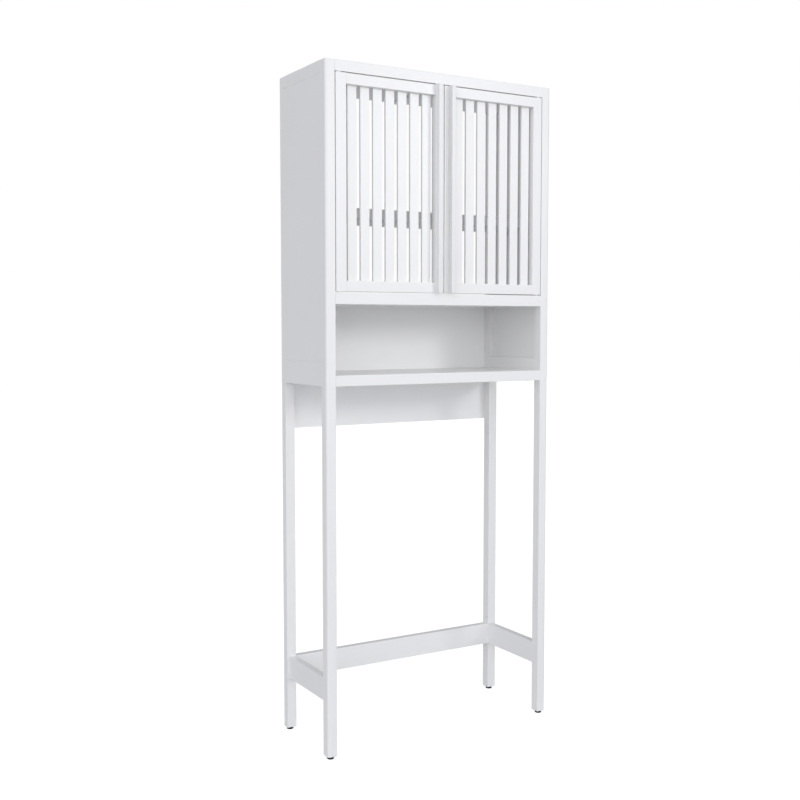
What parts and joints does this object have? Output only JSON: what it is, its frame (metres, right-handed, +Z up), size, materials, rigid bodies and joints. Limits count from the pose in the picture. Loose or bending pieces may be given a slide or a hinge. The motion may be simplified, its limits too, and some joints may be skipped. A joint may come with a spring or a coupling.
{
  "type": "over the toilet storage rack",
  "caption": "Tall white storage rack that stands over a toilet: louvred double door cabinet above an open niche on four legs with levelling feet.",
  "frame": {"origin": "on the floor, under the middle of the whole rack, handles and back panel included", "axes": "+Z up, the doors face -Y, +X to the right of someone facing the doors"},
  "size_m": [0.65, 0.276, 1.65],
  "materials": {
    "frame_paint": "satin white paint on solid wood",
    "board_paint": "satin white paint on fibreboard",
    "door_paint": "satin white paint on solid wood",
    "back_panel_paint": "satin white paint on thin fibreboard",
    "dowel_beech": "bare fluted beech",
    "zinc_plated_steel": "zinc plated",
    "cast_zinc": "die cast, matt",
    "magnet": "ferrite, matt",
    "white_plastic": "moulded, matt",
    "black_plastic": "moulded, matt"
  },
  "bodies": {
    "rack": {"back_panel": "back_panel_paint", "back_panel_screws": "zinc_plated_steel", "board_dowels": "dowel_beech", "cabinet_floor": "board_paint", "cam_bolts": "zinc_plated_steel", "cam_caps": "white_plastic", "cam_discs": "cast_zinc", "catch_housing": "white_plastic", "catch_magnets": "magnet", "catch_screws": "zinc_plated_steel", "leg_inserts": "cast_zinc", "niche_floor": "board_paint", "pivot_bushes": "white_plastic", "post_front_left": "frame_paint", "post_front_right": "frame_paint", "post_rear_left": "frame_paint", "post_rear_right": "frame_paint", "rear_stretcher": "frame_paint", "rear_stretcher_dowels": "dowel_beech", "shelf_pegs": "white_plastic", "side_bottom_rail_left": "frame_paint", "side_bottom_rail_right": "frame_paint", "side_frame_dowels": "dowel_beech", "side_panel_left": "frame_paint", "side_panel_right": "frame_paint", "side_stretcher_left": "frame_paint", "side_stretcher_right": "frame_paint", "side_top_rail_left": "frame_paint", "side_top_rail_right": "frame_paint", "top_board": "board_paint", "top_strip": "board_paint"},
    "left_door": {"left_door_hinge_stile": "door_paint", "left_door_meeting_stile": "door_paint", "left_door_top_rail": "door_paint", "left_door_bottom_rail": "door_paint", "left_door_slats": "door_paint", "left_door_handle": "door_paint", "left_door_handle_screws": "zinc_plated_steel", "left_door_strike_plate": "zinc_plated_steel", "left_door_pivot_pins": "zinc_plated_steel", "left_door_dowels": "dowel_beech"},
    "right_door": {"right_door_hinge_stile": "door_paint", "right_door_meeting_stile": "door_paint", "right_door_top_rail": "door_paint", "right_door_bottom_rail": "door_paint", "right_door_slats": "door_paint", "right_door_handle": "door_paint", "right_door_handle_screws": "zinc_plated_steel", "right_door_strike_plate": "zinc_plated_steel", "right_door_pivot_pins": "zinc_plated_steel", "right_door_dowels": "dowel_beech"},
    "shelf": {"shelf": "board_paint"},
    "foot_front_left": {"foot_pad_front_left": "black_plastic", "foot_stem_front_left": "zinc_plated_steel"},
    "foot_front_right": {"foot_pad_front_right": "black_plastic", "foot_stem_front_right": "zinc_plated_steel"},
    "foot_rear_left": {"foot_pad_rear_left": "black_plastic", "foot_stem_rear_left": "zinc_plated_steel"},
    "foot_rear_right": {"foot_pad_rear_right": "black_plastic", "foot_stem_rear_right": "zinc_plated_steel"}
  },
  "joints": [
    {"name": "left_door_hinge", "type": "hinge", "parent": "rack", "child": "left_door", "pos_m": [-0.288, -0.117, 1.37], "axis": [0, 0, -1], "range_deg": [0, 120]},
    {"name": "right_door_hinge", "type": "hinge", "parent": "rack", "child": "right_door", "pos_m": [0.288, -0.117, 1.37], "axis": [0, 0, 1], "range_deg": [0, 120]},
    {"name": "shelf_lift", "type": "slide", "parent": "rack", "child": "shelf", "axis": [0, 0, 1], "range_m": [0, 0.29]},
    {"name": "foot_front_left_screw", "type": "slide", "parent": "rack", "child": "foot_front_left", "axis": [0, 0, -1], "range_m": [0, 0.01]},
    {"name": "foot_front_right_screw", "type": "slide", "parent": "rack", "child": "foot_front_right", "axis": [0, 0, -1], "range_m": [0, 0.01]},
    {"name": "foot_rear_left_screw", "type": "slide", "parent": "rack", "child": "foot_rear_left", "axis": [0, 0, -1], "range_m": [0, 0.01]},
    {"name": "foot_rear_right_screw", "type": "slide", "parent": "rack", "child": "foot_rear_right", "axis": [0, 0, -1], "range_m": [0, 0.01]}
  ]
}
